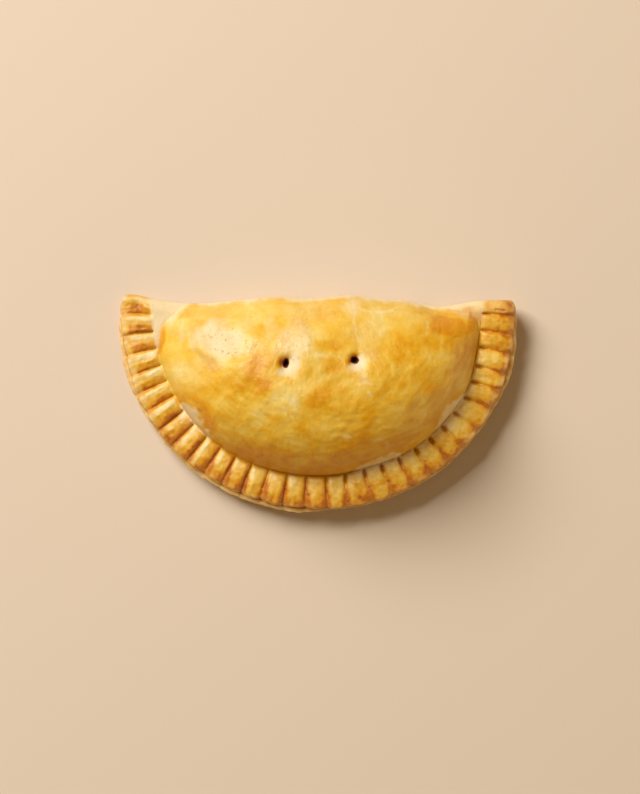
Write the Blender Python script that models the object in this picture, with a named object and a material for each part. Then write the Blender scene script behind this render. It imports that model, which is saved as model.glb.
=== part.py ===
"""An empanada: one disc of dough folded over its filling, crimped shut with a fork and baked.

It lies on its flat base. +X runs along the fold, the fold is towards +Y and the crimped rim
towards -Y. The origin is under the middle of its box, on the surface that it rests on.
It is one closed solid, as nothing cuts it open. The dough is worked out about the middle of
its fold: an angle runs from the left corner round the rim to the right corner, and a radius
from the middle of the fold out to the rim.
"""

import math
import random

import bmesh
import bpy
from mathutils import Matrix, Vector, noise

MM = 0.001

# The dough's outline, seen from above.
RIM_RADIUS = 69.9 * MM  # from the middle of the fold to where the top layer of dough bends down
CORNER_TRIM = 3.4 * MM  # how much shorter that is at the two corners
CRIMP_ROOT = 59.4 * MM  # from the middle of the fold to the inner end of the crimps
ROOT_TRIM_LEFT = 2.4 * MM
ROOT_TRIM_RIGHT = 4.6 * MM
LIP_LEFT = 1.3 * MM  # how far the bottom layer of dough shows on the left of the rim
LIP_RIGHT = 0.5 * MM
LIP_CHANGE = (math.radians(80), math.radians(105))  # the angles between which that changes
LIP_WANDER = 0.6 * MM
LIP_PATCHES = 2.6  # how often the lip wanders, for each radian of the rim
# Along the fold: where its edge swells or dips, by how much, and over what half width.
FOLD_WAVES = (
    (-64.0 * MM, 2.0 * MM, 8.0 * MM),
    (-40.0 * MM, -1.1 * MM, 11.0 * MM),
    (-13.0 * MM, 1.0 * MM, 10.0 * MM),
    (11.0 * MM, 1.6 * MM, 9.0 * MM),
    (42.0 * MM, -2.0 * MM, 8.0 * MM),
)
FOLD_WAVE_REACH = 14.0 * MM  # how far into the dough those waves are felt

# Heights above the surface that it rests on.
CROWN_HEIGHT = 30.0 * MM
RIM_TOP = 8.2 * MM
RIM_LIFT = 2.6 * MM  # the gap under the edge of the rim
LIFT_STARTS = 0.78  # share of the rim's radius at which the underside leaves the surface
WIDEST_SHARE = 0.42  # height of the fold's outermost line, as a share of the dough's there
FOLD_ROUNDING = 0.56  # radius of the fold's bend, as a share of the dough's height
DOME_RISE = 30.0 * MM  # distance over which the dome rises from its foot to its crown
DOME_POWER = 0.64  # 1 would be a sine, and less stands steeper at the foot
LUMP_HEIGHT = 0.8 * MM
LUMP_SIZE = 17.0 * MM

# The corners, where the dome ends before the crimps do and leaves a flat shoulder of dough:
# a point on the dome's end, the direction into the dome, and how far it rises from there.
SHOULDERS = (
    (Vector((-49.5, -5.5)) * MM, Vector((0.72, -0.69)), 44.0 * MM),
    (Vector((47.0, -3.6)) * MM, Vector((-0.23, -0.97)), 40.0 * MM),
)
DOME_END_GAP = 3.6 * MM  # between the dome's foot and the crimps, at the corners
DOME_END_ANGLE = math.radians(22)  # the angle from a corner at which that gap has closed

# The crimps: the pads that are left standing between the marks of a fork's tines.
PADS = 31
FIRST_GROOVE = math.radians(4.6)
LAST_GROOVE = math.radians(175.5)
GROOVE_WANDER = math.radians(0.4)
GROOVE_DEPTH = 1.9 * MM
GROOVE_RAMP = 0.1  # share of a groove's length over which its inner end slopes down
TIP_PRESS = 0.35  # how much deeper the tines' tips went on the right, as a share
TIP_PLACE = 0.18  # where along a groove that is, as a share of its length
TIP_PRESS_START = (math.radians(85), math.radians(105))
# Round the rim: where the fork leaned, how far it turned a groove's outer end, and over what
# half width.
LEANS = (
    (math.radians(99.5), math.radians(-1.1), math.radians(4.0)),
    (math.radians(150.0), math.radians(2.0), math.radians(11.0)),
)
PAD_SQUARE_INNER = 2.8  # 2 would be a half round, and more is flatter with steeper sides
PAD_SQUARE_OUTER = 2.0
SCALLOP = 0.8  # how far the edge draws in beside a groove, as a share of what stands out
PAD_FALL = 1.1 * MM  # how much lower a pad is at the rim's edge than at its middle
PAD_FALL_START = 0.35  # share of a pad's length at which that begins
PAD_UNEVENNESS = 0.3 * MM
FOOT_CREASE = 0.9 * MM  # depth of the crease between the pads and the dome
CREASE_SHARE = 0.07  # its width on the pads, as a share of their length
CREASE_WIDTH = 1.5 * MM  # its width on the dome

# The rim's edge, where the two layers of dough show, ring by ring from the top layer down:
# how far a ring stands out, and its height as a share of the edge's.
EDGE_RINGS = (
    (0.60 * MM, 0.80),
    (0.40 * MM, 0.52),
    (-0.30 * MM, 0.44),
    (0.50 * MM, 0.30),
    (0.10 * MM, 0.0),
)
LIP_RING = 3  # the ring that the bottom layer's lip pushes out
FOLD_TUCK = 0.5  # how far the fold's underside draws in, as a share of its height
CORNER_BLEND = 6.0 * MM  # distance over which the fold's round side becomes the rim's edge

# The flat base is the outline drawn in towards a point under the filling.
BASE_CENTRE = Vector((0.0, -27.0 * MM))
BASE_SHARE = 0.8

# The steam vents: where, as (x, y) from the middle of the fold, and the profile of one, as
# (radius, height above the dough) from the rim of its dimple down into the filling.
VENTS = ((-10.4 * MM, -21.5 * MM), (11.8 * MM, -20.6 * MM))
VENT_PROFILE = (
    (5.4 * MM, 2.5 * MM),
    (5.2 * MM, 0.9 * MM),
    (3.4 * MM, -0.25 * MM),
    (1.9 * MM, -1.1 * MM),
    (1.15 * MM, -2.2 * MM),
    (0.8 * MM, -7.0 * MM),
)
VENT_SIDES = 16

# How finely the solid is divided. The rows run from a middle stretch of the fold outwards.
COLUMNS_A_PAD = 2
CRIMP_CUTS = 2  # each column is cut this many times more where the crimps are
DOME_ROWS = 13
RIM_ROWS = 5
RIM_ROW_POWER = 1.4  # above 1, the rows of the rim are closer together at its inner side
ROWS_START_HALF = 30.0 * MM  # half the length of the stretch that the rows start from
ROW_EASING = 0.55  # 0 would space the rows of the dome evenly, and 1 as a cosine
SHARP_EDGE = math.radians(50)

# The finish: dough brushed with egg and baked golden.
CRUST_COLOUR = (0.76, 0.46, 0.10, 1.0)
CRUST_ROUGHNESS = 0.42
SEED = 7


def smooth(t):
    """From 0 at t 0 to 1 at t 1, level at both ends."""
    t = min(max(t, 0.0), 1.0)
    return t * t * (3 - 2 * t)


def rise(t):
    """From 0 at t 0 to 1 at t 1, steep at first and level at the end."""
    t = min(max(t, 0.0), 1.0)
    return math.sin(math.pi / 2 * t**DOME_POWER)


def mix(a, b, t):
    return a + (b - a) * t


def draws(count, low, high, seed):
    chance = random.Random(seed)
    return [chance.uniform(low, high) for _ in range(count)]


def groove_angles():
    """The angle of each groove between two pads, with the rim's two ends before and after."""
    pitch = (LAST_GROOVE - FIRST_GROOVE) / (PADS - 2)
    wander = draws(PADS - 1, -GROOVE_WANDER, GROOVE_WANDER, SEED)
    return [0.0, *(FIRST_GROOVE + i * pitch + w for i, w in enumerate(wander)), math.pi]


GROOVES = groove_angles()
PAD_HEIGHTS = draws(PADS, -PAD_UNEVENNESS, PAD_UNEVENNESS, SEED + 1)
GROOVE_DEPTHS = draws(PADS + 1, 0.75 * GROOVE_DEPTH, 1.2 * GROOVE_DEPTH, SEED + 2)


def pad_at(u):
    """Which pad holds u, which counts pads from the left corner, and how far across it u is."""
    pad = min(int(u), PADS - 1)
    return pad, u - pad


def angle_at(u):
    pad, across = pad_at(u)
    return mix(GROOVES[pad], GROOVES[pad + 1], across)


def polar(radius, angle):
    return Vector((-radius * math.cos(angle), -radius * math.sin(angle)))


def rim_radius(angle):
    return RIM_RADIUS - CORNER_TRIM * abs(math.cos(angle)) ** 8


def crimp_root(angle):
    trim = ROOT_TRIM_LEFT if angle < math.pi / 2 else ROOT_TRIM_RIGHT
    return CRIMP_ROOT - trim * math.cos(angle) ** 4


def dome_foot(angle):
    """The radius at which the dome meets the crimps, or the flat shoulder near a corner."""
    from_corner = min(angle, math.pi - angle)
    return crimp_root(angle) - DOME_END_GAP * (1 - smooth(from_corner / DOME_END_ANGLE))


def waves(at, places):
    """The sum of some waves, each given by its place, its size and its half width."""
    return sum(size * math.exp(-(((at - place) / width) ** 2)) for place, size, width in places)


def crease_at(angle):
    """Depth of the crease at the dome's foot, which the flat shoulders don't have."""
    return FOOT_CREASE * smooth(min(angle, math.pi - angle) / DOME_END_ANGLE)


def groove_share(u, t):
    """How far down a groove's side u is: 0 on top of a pad, and 1 at the groove's bottom."""
    pad, across = pad_at(u)
    before_first = pad == 0 and across < 0.5
    after_last = pad == PADS - 1 and across > 0.5
    if before_first or after_last:  # there the bend of the fold rounds the pad instead
        return 0.0
    squareness = mix(PAD_SQUARE_INNER, PAD_SQUARE_OUTER, t)
    return 1 - math.sqrt(max(1 - abs(2 * across - 1) ** squareness, 0.0))


def crimp_height(u, t):
    """Height of the crimped rim at u, and at t from 0 at its inner end to 1 at its edge."""
    pad, across = pad_at(u)
    angle = angle_at(u)
    crease = crease_at(angle) * math.exp(-((t / CREASE_SHARE) ** 2))
    fall = PAD_FALL * (max(t - PAD_FALL_START, 0.0) / (1 - PAD_FALL_START)) ** 2
    start, end = TIP_PRESS_START
    tip = TIP_PRESS * smooth((angle - start) / (end - start))
    pressed = smooth(t / GROOVE_RAMP) * (1 + tip * math.exp(-(((t - TIP_PLACE) / TIP_PLACE) ** 2)))
    depth = mix(GROOVE_DEPTHS[pad], GROOVE_DEPTHS[pad + 1], across) * pressed
    return RIM_TOP + PAD_HEIGHTS[pad] - crease - fall - depth * groove_share(u, t)


def dome_height(place):
    """Height of the dome and of the flat shoulders at its ends."""
    radius = place.length
    angle = math.atan2(max(-place.y, 0.0), -place.x)
    share = rise((dome_foot(angle) - radius) / DOME_RISE)
    for point, inwards, distance in SHOULDERS:
        share *= rise((place - point).dot(inwards) / distance)
    to_crimps = crimp_root(angle) - radius
    floor = RIM_TOP - crease_at(angle) * math.exp(-((to_crimps / CREASE_WIDTH) ** 2))
    lump = LUMP_HEIGHT * noise.noise(Vector((place.x, place.y, 0.0)) / LUMP_SIZE)
    return floor + (CROWN_HEIGHT - floor + lump) * share


def underside(radius, angle):
    """Height of the bottom of the dough, which curls up a little towards the rim."""
    share = radius / rim_radius(angle)
    return RIM_LIFT * smooth((share - LIFT_STARTS) / (1 - LIFT_STARTS))


def rim_share(row):
    """How far across the crimped rim a row is, from 0 at its inner end to 1 at its edge."""
    return ((row - DOME_ROWS) / RIM_ROWS) ** RIM_ROW_POWER


def flat_place(u, row):
    """Where u and row are, seen from above, if the fold were straight."""
    angle = angle_at(u)
    if row >= DOME_ROWS:
        t = rim_share(row)
        leaning = angle + t * waves(angle, LEANS)
        return polar(mix(crimp_root(angle), rim_radius(angle), t), leaning)
    t = row / DOME_ROWS
    eased = mix(t, (1 - math.cos(math.pi * t)) / 2, ROW_EASING)
    start = Vector((ROWS_START_HALF * (2 * u / PADS - 1), 0.0))
    return start.lerp(polar(crimp_root(angle), angle), eased)


def top_point(u, row):
    """The point of the dough's top at u and row, and the height of the underside below it."""
    place = flat_place(u, row)
    angle = math.atan2(max(-place.y, 0.0), -place.x)
    if row >= DOME_ROWS:
        full = crimp_height(u, rim_share(row))
    else:
        full = dome_height(place)
    bottom = underside(place.length, angle)
    widest = mix(bottom, full, WIDEST_SHARE)
    from_fold = min(max(-place.y, 0.0) / (FOLD_ROUNDING * (full - bottom)), 1.0)
    height = mix(widest, full, math.sqrt(1 - (1 - from_fold) ** 2))
    felt = math.exp(-((place.y / FOLD_WAVE_REACH) ** 2))
    return Vector((place.x, place.y + felt * waves(place.x, FOLD_WAVES), height)), bottom


def fold_side(top, bottom, ring):
    """The round side of the fold: how far it has drawn in at a ring, and its height there."""
    down = math.pi / 2 * (ring + 1) / len(EDGE_RINGS)
    tuck = FOLD_TUCK * (top.z - bottom) * (1 - math.cos(down))
    return tuck, mix(top.z, bottom, math.sin(down))


def lip_at(angle):
    """How far the bottom layer of dough shows past the top one."""
    start, end = LIP_CHANGE
    even = mix(LIP_LEFT, LIP_RIGHT, smooth((angle - start) / (end - start)))
    return even + LIP_WANDER * noise.noise(Vector((LIP_PATCHES * angle, 0.5, 0.5)))


def side_point(u, row, ring):
    """A point of the dough's side, below the point of its top's edge at u and row."""
    top, bottom = top_point(u, row)
    tuck, height = fold_side(top, bottom, ring)
    if row < DOME_ROWS + RIM_ROWS:
        return Vector((top.x, top.y - tuck, height))
    angle = angle_at(u)
    out, share = EDGE_RINGS[ring]
    if ring < LIP_RING:
        out -= SCALLOP * max(out, 0.0) * groove_share(u, 1.0)
    if ring == LIP_RING:
        out += lip_at(angle)
    on_rim = smooth(rim_radius(angle) * math.sin(angle) / CORNER_BLEND)
    edge = top + polar(out, angle).to_3d()
    edge.z = mix(bottom, top.z, share)
    fold = Vector((top.x, top.y - tuck, height))
    return fold.lerp(edge, on_rim)


def base_point(u, row):
    """A point of the flat base's outline, inside the point of the side at u and row."""
    lowest = side_point(u, row, len(EDGE_RINGS) - 1)
    place = BASE_CENTRE.lerp(lowest.xy, BASE_SHARE)
    return Vector((place.x, place.y, 0.0))


def extrude_border(bm):
    """Extrudes the open border of the dough and returns the new vertices."""
    border = [edge for edge in bm.edges if edge.is_boundary]
    made = bmesh.ops.extrude_edge_only(bm, edges=border)["geom"]
    return [item for item in made if isinstance(item, bmesh.types.BMVert)]


def unrolled_sheet(bm):
    """A flat sheet with x as u and y as row, cut more finely where the crimps are."""
    rows = DOME_ROWS + RIM_ROWS
    bmesh.ops.create_grid(bm, x_segments=PADS * COLUMNS_A_PAD, y_segments=rows, size=0.5)
    bmesh.ops.translate(bm, vec=(0.5, 0.5, 0.0), verts=bm.verts)
    bmesh.ops.scale(bm, vec=(PADS, rows, 1.0), verts=bm.verts)
    along_crimps = []
    for edge in bm.edges:
        first, second = (vert.co for vert in edge.verts)
        in_crimps = min(first.y, second.y) > DOME_ROWS - 0.5
        if in_crimps and abs(first.y - second.y) < 0.5:
            along_crimps.append(edge)
    bmesh.ops.subdivide_edges(bm, edges=along_crimps, cuts=CRIMP_CUTS, use_grid_fill=True)
    steps_a_pad = COLUMNS_A_PAD * (CRIMP_CUTS + 1)
    for vert in bm.verts:  # exact steps, so that a groove falls exactly between its two pads
        vert.co.x = round(vert.co.x * steps_a_pad) / steps_a_pad
        vert.co.y = round(vert.co.y)


def shaped_dough(bm):
    """The dough as one closed shell: its top, its side ring by ring, and its flat base."""
    unrolled_sheet(bm)
    origin = bm.verts.layers.float_vector.new("unrolled")
    for vert in bm.verts:
        vert[origin] = vert.co
        vert.co = top_point(vert.co.x, vert.co.y)[0]
    for ring in range(len(EDGE_RINGS)):
        for vert in extrude_border(bm):
            vert.co = side_point(vert[origin].x, vert[origin].y, ring)
    for vert in extrude_border(bm):
        vert.co = base_point(vert[origin].x, vert[origin].y)
    border = [edge for edge in bm.edges if edge.is_boundary]
    bmesh.ops.contextual_create(bm, geom=border)
    bmesh.ops.recalc_face_normals(bm, faces=bm.faces)


def vent_cutter(name, place, surface):
    """What a fork's tine pushes out of the dough: a hole that widens into a dimple."""
    bm = bmesh.new()
    corners = [Vector((radius, 0.0, height)) for radius, height in VENT_PROFILE]
    profile = [Vector((0.0, 0.0, corners[0].z)), *corners, Vector((0.0, 0.0, corners[-1].z))]
    verts = [bm.verts.new(co) for co in profile]
    edges = [bm.edges.new(pair) for pair in zip(verts, verts[1:])]
    bmesh.ops.spin(
        bm,
        geom=edges,
        cent=(0.0, 0.0, 0.0),
        axis=(0.0, 0.0, 1.0),
        angle=math.tau,
        steps=VENT_SIDES,
        use_merge=True,
    )
    bmesh.ops.remove_doubles(bm, verts=bm.verts, dist=0.001 * MM)
    bmesh.ops.recalc_face_normals(bm, faces=bm.faces)
    cutter = new_object(name, bm)
    cutter.location = (place.x, place.y, surface)
    cutter.hide_render = True
    cutter.display_type = "WIRE"
    return cutter


def new_object(name, bm):
    mesh = bpy.data.meshes.new(name)
    bm.to_mesh(mesh)
    bm.free()
    obj = bpy.data.objects.new(name, mesh)
    bpy.context.scene.collection.objects.link(obj)
    return obj


def crust_material():
    material = bpy.data.materials.new("baked_crust")
    material.use_nodes = True
    shader = material.node_tree.nodes["Principled BSDF"]
    shader.inputs["Base Color"].default_value = CRUST_COLOUR
    shader.inputs["Roughness"].default_value = CRUST_ROUGHNESS
    shader.inputs["Metallic"].default_value = 0.0
    return material


def box_middle(bm):
    """The middle of the dough's box, seen from above."""
    xs = [vert.co.x for vert in bm.verts]
    ys = [vert.co.y for vert in bm.verts]
    return Vector(((min(xs) + max(xs)) / 2, (min(ys) + max(ys)) / 2))


def make_empanada():
    bm = bmesh.new()
    shaped_dough(bm)
    middle = box_middle(bm)
    bmesh.ops.transform(bm, matrix=Matrix.Translation(-middle.to_3d()), verts=bm.verts)
    dough = new_object("empanada", bm)
    dough.data.materials.append(crust_material())
    dough.data.shade_smooth()
    dough.data.set_sharp_from_angle(angle=SHARP_EDGE)
    for number, (x, y) in enumerate(VENTS, 1):
        place = Vector((x, y))
        cutter = vent_cutter(f"vent_cutter_{number}", place - middle, dome_height(place))
        cut = dough.modifiers.new(f"vent_{number}", "BOOLEAN")
        cut.operation = "DIFFERENCE"
        cut.solver = "EXACT"
        cut.object = cutter


for old in list(bpy.data.objects):
    bpy.data.objects.remove(old)
make_empanada()
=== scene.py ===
"""A baked empanada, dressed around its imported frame."""

import math
import random

import bmesh
import bpy
from mathutils import Matrix, Vector, noise


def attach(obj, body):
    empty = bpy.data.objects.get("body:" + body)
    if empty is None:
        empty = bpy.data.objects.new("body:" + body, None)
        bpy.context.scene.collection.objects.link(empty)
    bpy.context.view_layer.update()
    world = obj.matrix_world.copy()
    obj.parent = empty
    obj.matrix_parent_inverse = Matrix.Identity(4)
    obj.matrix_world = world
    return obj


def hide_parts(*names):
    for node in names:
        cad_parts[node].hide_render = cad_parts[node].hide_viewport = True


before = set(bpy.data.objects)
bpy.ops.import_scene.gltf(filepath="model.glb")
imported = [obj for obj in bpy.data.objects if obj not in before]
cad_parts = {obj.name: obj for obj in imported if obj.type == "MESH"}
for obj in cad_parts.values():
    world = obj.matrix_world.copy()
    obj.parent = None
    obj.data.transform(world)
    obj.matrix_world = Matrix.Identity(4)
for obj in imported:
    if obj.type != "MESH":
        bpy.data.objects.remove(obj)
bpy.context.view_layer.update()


# ------------------------------------------------------------------------------------------
# The dough
# A disc of wheat dough about 3 mm thick, folded once over a heap of filling. It has a round
# fold along one side, and a dome that falls to a half-round rim.

# It is worked out in millimetres about the middle of the fold. An angle runs round the rim
# from the left corner to the right one, u counts the crimps' pads along it, and a place is
# a point seen from above. What lies round the rim is given in radians, or in degrees where
# the table says so.
MIDDLE_OF_FOLD = Vector((0.0, 34.65))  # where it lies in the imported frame
RIM_RADIUS = 70.1
CORNER_TRIM = 3.3  # how much shorter the radius is at the two corners
CORNER_TRIM_POWER = 8  # the higher, the closer to the corners the trim stays
# Round the rim: where its edge swells or dips, by how much, and over what half width.
RIM_WAVES = (
    (0.0, -1.5, 0.03), (0.12, -0.1, 0.06), (0.32, -0.45, 0.12), (1.75, 0.35, 0.35),
    (2.60, -0.2, 0.10), (2.79, -0.5, 0.05), (3.0, -0.3, 0.06), (math.pi, -1.0, 0.02),
)
CRIMP_ROOT = 59.5  # from the middle of the fold to the inner end of the crimps
ROOT_TRIM_LEFT = 3.6
ROOT_TRIM_RIGHT = 4.2
ROOT_TRIM_POWER = 4
ROOT_WAVES = ((0.9, 0.45, 0.35), (1.86, -0.5, 0.14), (2.35, 0.75, 0.30), (2.62, 0.95, 0.16))

CROWN_HEIGHT = 30.0
RIM_TOP = 8.2
RIM_LIFT = 2.6  # the gap under the edge of the rim
LIFT_STARTS = 0.78  # share of the rim's radius at which the underside leaves the surface
WIDEST_SHARE = 0.42  # height of the fold's outermost line, as a share of the dough's there
FOLD_ROUNDING = 0.56  # radius of the fold's bend, as a share of the dough's height
DOME_RISE = 30.0  # distance over which the dome rises from its foot to its crown
DOME_POWER = 0.64  # 1 would be a sine, and less stands steeper at the foot
# The crease at the dome's foot: how deep it is round the rim, as (degrees, value).
FOOT_CREASE = (
    (0, 0.2), (54, 0.3), (64, 0.9), (98, 0.9), (106, 0.4), (148, 0.45), (160, 0.8), (180, 0.5),
)
CREASE_WIDTH = 1.5
LUMP_HEIGHT = 0.8
LUMP_SIZE = 17.0
FILLING_LUMP = (Vector((-1.5, -15.5)), 7.5, 1.2)  # its place, half width and height

# Along the fold: where its edge swells or dips, by how much, and over what half width.
FOLD_WAVES = (
    (-64.0, 2.0, 8.0), (-40.0, -1.1, 11.0), (-13.0, 1.0, 10.0), (11.0, 1.6, 9.0), (42.0, -2.0, 8.0),
)
FOLD_WAVE_REACH = 14.0

# The flat shoulders at the corners: a point on the dome's end, the direction into the dome,
# and how far it rises from there.
SHOULDERS = (
    (Vector((-49.5, -5.5)), Vector((0.72, -0.69)), 44.0),
    (Vector((47.0, -3.6)), Vector((-0.23, -0.97)), 40.0),
)
DOME_END_GAP = 3.6  # between the dome's foot and the crimps, at the corners
DOME_END_ANGLES = (math.radians(22), math.radians(13))  # how far round it reaches, left and right

# Smaller unevenness, where the dough lies on lumps of filling and where it blistered. Bumps
# are given by their size, their seed and how high they are.
DOUGH_BUMPS = ((7.5, 0, 0.36), (2.7, 0, 0.21), (1.1, 0, 0.11))
FOOT_BUMPS = 0.35  # share of them that is left at the dome's foot

# The fine creases that run round the lower part of the dome. That part starts so far from
# the middle of the fold, and so far round from the left corner.
WRINKLE_HEIGHT = 0.3
WRINKLE_LENGTH = 5.5
WRINKLE_WIDTH = 1.15
WRINKLE_SWAY = 1.6
WRINKLE_RADIUS = 60.0  # at which their length is measured
LOW_STARTS = 24.0
LOW_REACH = 18.0  # over which it begins
LOW_STARTS_DEGREES = 28
LOW_REACH_DEGREES = 25

# Where the top stretched almost flat between two lumps of filling: the corners of the flat,
# its middle, and how much it rises along x and y for each millimetre.
FLAT_CORNERS = ((-42.0, -6.6), (-40.4, -17.2), (-32.0, -22.2), (-24.0, -21.2), (-22.0, -9.6))
FLAT_MIDDLE = Vector((-33.0, -14.0))
FLAT_SLOPE = Vector((0.26, -0.27))
FLAT_EDGE = 3.0  # width over which it runs out into the dome
FLAT_SHARE = 0.85  # 1 would be quite flat
FLAT_SUNK = 0.35
FLAT_REACH = 20.0  # nothing of it is further from its middle
FLAT_SMOOTHED = 0.6  # share of the small bumps that the stretching took away

# Where the fork's tines pressed, in degrees round the rim, with the pads between them.
MARKS = (
    5.8, 11.2, 16.8, 22.5, 28.0, 33.5, 39.3, 45.0, 50.8, 56.6,
    62.3, 68.1, 74.0, 80.1, 86.3, 92.6, 98.9, 105.1, 110.9, 116.8,
    123.0, 128.8, 134.4, 140.2, 146.2, 151.8, 157.3, 163.7, 169.6, 175.3,
)
GROOVES = (0.0, *(math.radians(mark) for mark in MARKS), math.pi)
PADS = len(GROOVES) - 1

COLUMNS_A_PAD = 9
FINE_FROM = 0.4  # share of the way out from which there are twice as many columns
DOME_ROWS = 110
RIM_ROWS = 32
ROWS = DOME_ROWS + RIM_ROWS
ROWS_START_HALF = 30.0  # half the length of the stretch that the rows start from
ROW_EASING = 0.55  # 0 spaces the rows evenly, and 1 crowds them at both ends


def smooth(t):
    """From 0 at t 0 to 1 at t 1, level at both ends."""
    t = min(max(t, 0.0), 1.0)
    return t * t * (3 - 2 * t)


def rise(t):
    """From 0 at t 0 to 1 at t 1, steep at first and level at the end."""
    t = min(max(t, 0.0), 1.0)
    return math.sin(math.pi / 2 * t**DOME_POWER)


def mix(a, b, t):
    """From a at t 0 to b at t 1."""
    return a + (b - a) * t


def hump(distance, width):
    """1 at no distance, and almost 0 at twice the width."""
    return math.exp(-((distance / width) ** 2))


def waves(at, places):
    """The sum of some waves, each given by its place, its size and its half width."""
    return sum(size * hump(at - place, width) for place, size, width in places)


def between(stops, at):
    """The value between the stops on either side, given in order as (place, value)."""
    if at <= stops[0][0]:
        return stops[0][1]
    for (start, low), (end, high) in zip(stops, stops[1:]):
        if at <= end:
            return mix(low, high, smooth((at - start) / (end - start)))
    return stops[-1][1]


def uneven(place, size, seed=0):
    """Between about -0.7 and 0.7, with bumps of that size in millimetres; a seed gives others."""
    return noise.noise(Vector((place[0], place[1], 0.0)) / size + Vector((0.0, 0.0, seed + 0.37)))


def bumpy(place, bumps, seed=0):
    """The sum of some bumps, each given by its size, its own seed and its height."""
    return sum(high * uneven(place, size, seed + own_seed) for size, own_seed, high in bumps)


def pad_at(u):
    """Which pad holds u, and how far across it u is."""
    pad = min(int(u), PADS - 1)
    return pad, u - pad


def angle_at(u):
    pad, across = pad_at(u)
    return mix(GROOVES[pad], GROOVES[pad + 1], across)


def polar(radius, angle):
    return Vector((-radius * math.cos(angle), -radius * math.sin(angle)))


def angle_of(place):
    return math.atan2(max(-place.y, 0.0), -place.x)


def rim_radius(angle):
    trim = CORNER_TRIM * abs(math.cos(angle)) ** CORNER_TRIM_POWER
    return RIM_RADIUS - trim + waves(angle, RIM_WAVES)


def crimp_root(angle):
    """The radius at which the crimps start and the dome has ended."""
    trim = ROOT_TRIM_LEFT if angle < math.pi / 2 else ROOT_TRIM_RIGHT
    return CRIMP_ROOT - trim * math.cos(angle) ** ROOT_TRIM_POWER + waves(angle, ROOT_WAVES)


def from_corner(angle):
    """0 at a corner, and 1 from where the flat shoulders have ended."""
    left, right = DOME_END_ANGLES
    return smooth(angle / left) * smooth((math.pi - angle) / right)


def foot_crease(angle):
    return between(FOOT_CREASE, math.degrees(angle)) * from_corner(angle)


def dome_foot(angle):
    return crimp_root(angle) - DOME_END_GAP * (1 - from_corner(angle))


def dome_share(place):
    """How far up the dome a place is, from 0 at its foot to 1 at its crown."""
    share = rise((dome_foot(angle_of(place)) - place.length) / DOME_RISE)
    for point, inwards, distance in SHOULDERS:
        share *= rise((place - point).dot(inwards) / distance)
    return share


def low_down(place):
    """1 on the lower part of the dome, and 0 on its top and at its ends."""
    angle = angle_of(place)
    low = smooth((place.length - LOW_STARTS) / LOW_REACH)
    low *= smooth((math.degrees(angle) - LOW_STARTS_DEGREES) / LOW_REACH_DEGREES)
    return low * from_corner(angle)


def wrinkled(place):
    """Streaks that run round the dome, above and below 0."""
    along = angle_of(place) * WRINKLE_RADIUS / WRINKLE_LENGTH
    sway = WRINKLE_SWAY * uneven(place, 6.0, 14)
    return uneven((along, (place.length + sway) / WRINKLE_WIDTH), 1.0, 15)


def on_flat(place):
    """1 on the stretched flat, and 0 outside it."""
    if (place - FLAT_MIDDLE).length > FLAT_REACH:
        return 0.0
    within = 1.0
    for start, end in zip(FLAT_CORNERS, FLAT_CORNERS[1:] + FLAT_CORNERS[:1]):
        side = (Vector(end) - Vector(start)).normalized()
        away = place - Vector(start)
        within *= smooth((side.x * away.y - side.y * away.x) / FLAT_EDGE + 0.5)
    return within


def arched_height(place):
    """Height of the dome before it stretched."""
    angle = angle_of(place)
    crease = foot_crease(angle) * hump(crimp_root(angle) - place.length, CREASE_WIDTH)
    floor = RIM_TOP - crease
    lump = LUMP_HEIGHT * noise.noise(Vector((place.x, place.y, 0.0)) / LUMP_SIZE)
    middle, wide, high = FILLING_LUMP
    lump += high * hump((place - middle).length, wide)
    return floor + (CROWN_HEIGHT - floor + lump) * dome_share(place)


FLAT_TOP = arched_height(FLAT_MIDDLE) - FLAT_SUNK


def dome_height(place):
    """Height of the dome with its flat, its bumps and its wrinkles."""
    flat = FLAT_TOP + FLAT_SLOPE.dot(place - FLAT_MIDDLE)
    height = mix(arched_height(place), flat, FLAT_SHARE * on_flat(place))
    bumps = bumpy(place, DOUGH_BUMPS) * (1 - FLAT_SMOOTHED * on_flat(place))
    bumps += WRINKLE_HEIGHT * low_down(place) * wrinkled(place) * (0.6 + uneven(place, 9.0, 16))
    return height + bumps * mix(FOOT_BUMPS, 1.0, smooth(3 * dome_share(place)))


def underside(radius, angle):
    """Height of the bottom of the dough, which curls up a little towards the rim."""
    share = radius / rim_radius(angle)
    return RIM_LIFT * smooth((share - LIFT_STARTS) / (1 - LIFT_STARTS))


def dome_place(u, row):
    """Where u and row are on the dome, seen from above, if the fold were straight."""
    angle = angle_at(u)
    t = row / DOME_ROWS
    eased = mix(t, (1 - math.cos(math.pi * t)) / 2, ROW_EASING)
    start = Vector((ROWS_START_HALF * (2 * u / PADS - 1), 0.0))
    return start.lerp(polar(crimp_root(angle), angle), eased)


def bent(place, full):
    """The point of the dough's top over a place, which the fold bends down near its edge."""
    bottom = underside(place.length, angle_of(place))
    widest = mix(bottom, full, WIDEST_SHARE)
    inwards = min(max(-place.y, 0.0) / (FOLD_ROUNDING * (full - bottom)), 1.0)
    height = mix(widest, full, math.sqrt(1 - (1 - inwards) ** 2))
    out = hump(place.y, FOLD_WAVE_REACH) * waves(place.x, FOLD_WAVES)
    return Vector((place.x, place.y + out, height))


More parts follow.
